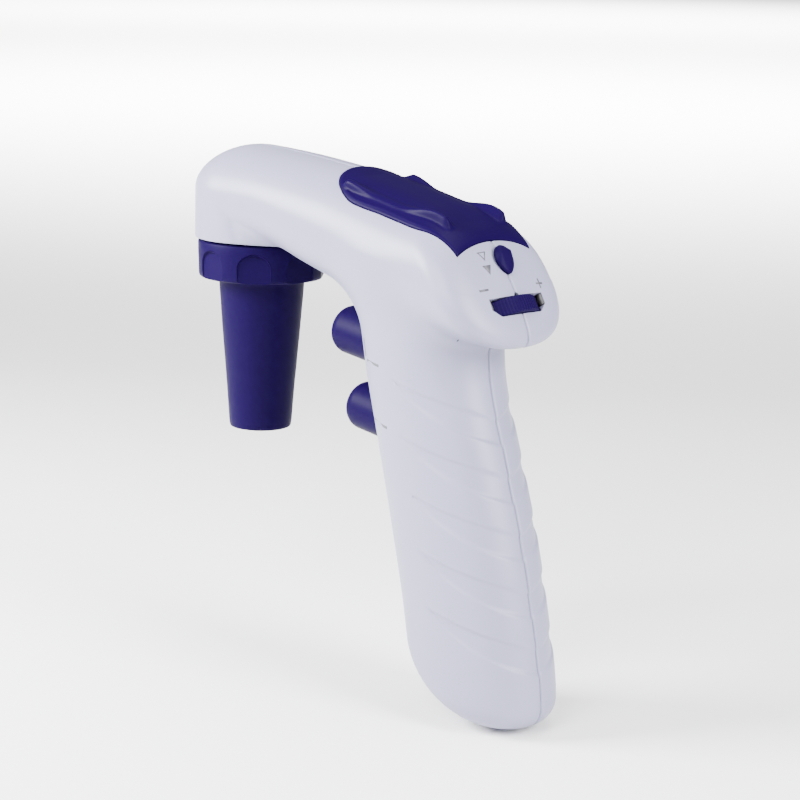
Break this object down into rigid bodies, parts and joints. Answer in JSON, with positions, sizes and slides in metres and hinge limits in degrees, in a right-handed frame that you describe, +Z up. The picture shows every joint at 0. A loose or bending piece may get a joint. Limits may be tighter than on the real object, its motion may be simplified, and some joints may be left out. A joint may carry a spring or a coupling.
{
  "type": "motorized pipette controller",
  "caption": "Pistol-grip motorized pipette controller with blue nosepiece, fill and dispense buttons, top cover, speed dial and mode switch.",
  "frame": {"origin": "centre of the nosepiece's mouth, on its bottom face", "axes": "+Z up the nosepiece, +X from the nose towards the rear face with the speed dial, +Y across to the right-hand housing half"},
  "size_m": [0.1377, 0.044, 0.1525],
  "materials": {
    "white_shell": "satin moulded",
    "blue_plastic": "satin moulded",
    "blue_gloss": "glossy moulded",
    "silicone": "soft matt",
    "filter_plastic": "moulded",
    "grey_plastic": "moulded",
    "seal_rubber": "matt",
    "brass": "turned",
    "steel": "plated",
    "spring_steel": "drawn",
    "motor_can": "plated",
    "circuit_board": "solder mask",
    "black_plastic": "moulded",
    "clear_tube": "soft",
    "cell_sleeve": "shrink sleeve"
  },
  "bodies": {
    "housing": {"housing_left": "white_shell", "housing_right": "white_shell", "housing_screws": "steel", "top_cover": "blue_gloss", "nose_socket": "grey_plastic", "nose_o_ring": "seal_rubber", "aspirate_spring": "spring_steel", "dispense_spring": "spring_steel", "valve_block": "grey_plastic", "switch_board": "circuit_board", "aspirate_switch": "black_plastic", "dispense_switch": "black_plastic", "dial_potentiometer": "black_plastic", "mode_switch": "black_plastic", "selector_board": "circuit_board", "pump_head": "grey_plastic", "pump_diaphragm": "seal_rubber", "pump_crankcase": "grey_plastic", "pump_motor": "motor_can", "motor_mount": "seal_rubber", "pipette_line": "clear_tube", "pressure_line": "clear_tube", "suction_line": "clear_tube", "battery_cell": "cell_sleeve", "battery_holder": "black_plastic", "battery_contacts": "spring_steel", "control_board": "circuit_board", "board_parts": "black_plastic", "charging_port": "steel"},
    "adapter": {"pipette_adapter": "silicone", "membrane_filter": "filter_plastic"},
    "nosepiece": {"nosepiece": "blue_plastic"},
    "aspirate": {"aspirate_button": "blue_plastic", "aspirate_plunger": "brass", "aspirate_seals": "seal_rubber"},
    "dispense": {"dispense_button": "blue_plastic", "dispense_plunger": "brass", "dispense_seals": "seal_rubber"},
    "dial": {"speed_dial": "blue_plastic", "dial_shaft": "steel"},
    "knob": {"mode_knob": "blue_plastic"},
    "pump_rotor": {"motor_shaft": "steel", "pump_eccentric": "brass"}
  },
  "joints": [
    {"name": "nosepiece_lift", "type": "slide", "parent": "housing", "child": "adapter", "axis": [0, 0, -1], "range_m": [0, 0.006]},
    {"name": "nosepiece_turn", "type": "hinge", "parent": "adapter", "child": "nosepiece", "pos_m": [0, 0, 0], "axis": [0, 0, -1], "range_deg": [0, 720]},
    {"name": "aspirate_press", "type": "slide", "parent": "housing", "child": "aspirate", "axis": [0.9925, 0, -0.1219], "range_m": [0, 0.004], "stiffness_N_per_m": 400, "springref_m": -0.002, "deforming": ["aspirate_spring"]},
    {"name": "dispense_press", "type": "slide", "parent": "housing", "child": "dispense", "axis": [0.9925, 0, -0.1219], "range_m": [0, 0.004], "stiffness_N_per_m": 400, "springref_m": -0.002, "deforming": ["dispense_spring"]},
    {"name": "dial_turn", "type": "hinge", "parent": "housing", "child": "dial", "pos_m": [0.0958, 0, 0.04567], "axis": [-0.5225, 0, 0.8526], "range_deg": [-135, 135]},
    {"name": "mode_slide", "type": "slide", "parent": "housing", "child": "knob", "axis": [0.5225, 0, -0.8526], "range_m": [0, 0.003]},
    {"name": "motor_turn", "type": "hinge", "parent": "housing", "child": "pump_rotor", "pos_m": [0.03, 0, 0.0686], "axis": [0.9763, 0, -0.2164], "continuous": true}
  ],
  "couplings": [
    {"joint": "nosepiece_turn", "follows": "nosepiece_lift", "rad_per_m": 2094.4}
  ]
}
